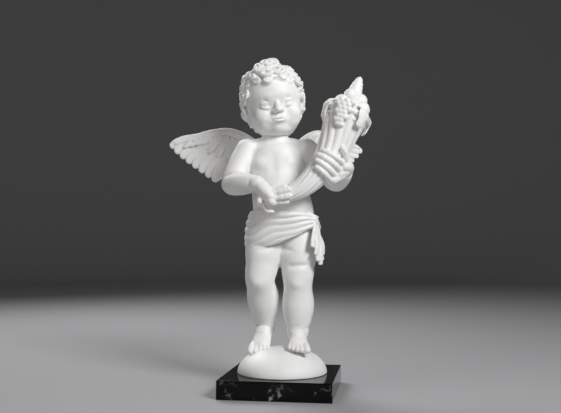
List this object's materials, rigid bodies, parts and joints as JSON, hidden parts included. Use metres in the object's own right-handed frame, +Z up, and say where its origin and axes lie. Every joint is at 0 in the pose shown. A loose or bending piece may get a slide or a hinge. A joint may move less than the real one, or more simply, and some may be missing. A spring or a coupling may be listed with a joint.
{
  "type": "winged putto statue",
  "caption": "White carved winged child standing on a dome, holding a horn of plenty, on a square black marble plinth.",
  "frame": {"origin": "centre of the plinth's underside", "axes": "+Z up, -Y out of the front of the figure and square to the plinth's front edge, +X to the viewer's right"},
  "size_m": [0.2403, 0.1821, 0.3654],
  "materials": {
    "white_alabaster": "white alabaster, softly rubbed, satin",
    "black_marble": "black marble with white veins, polished"
  },
  "bodies": {
    "root": {"putto": "white_alabaster", "marble_plinth": "black_marble"}
  },
  "joints": []
}
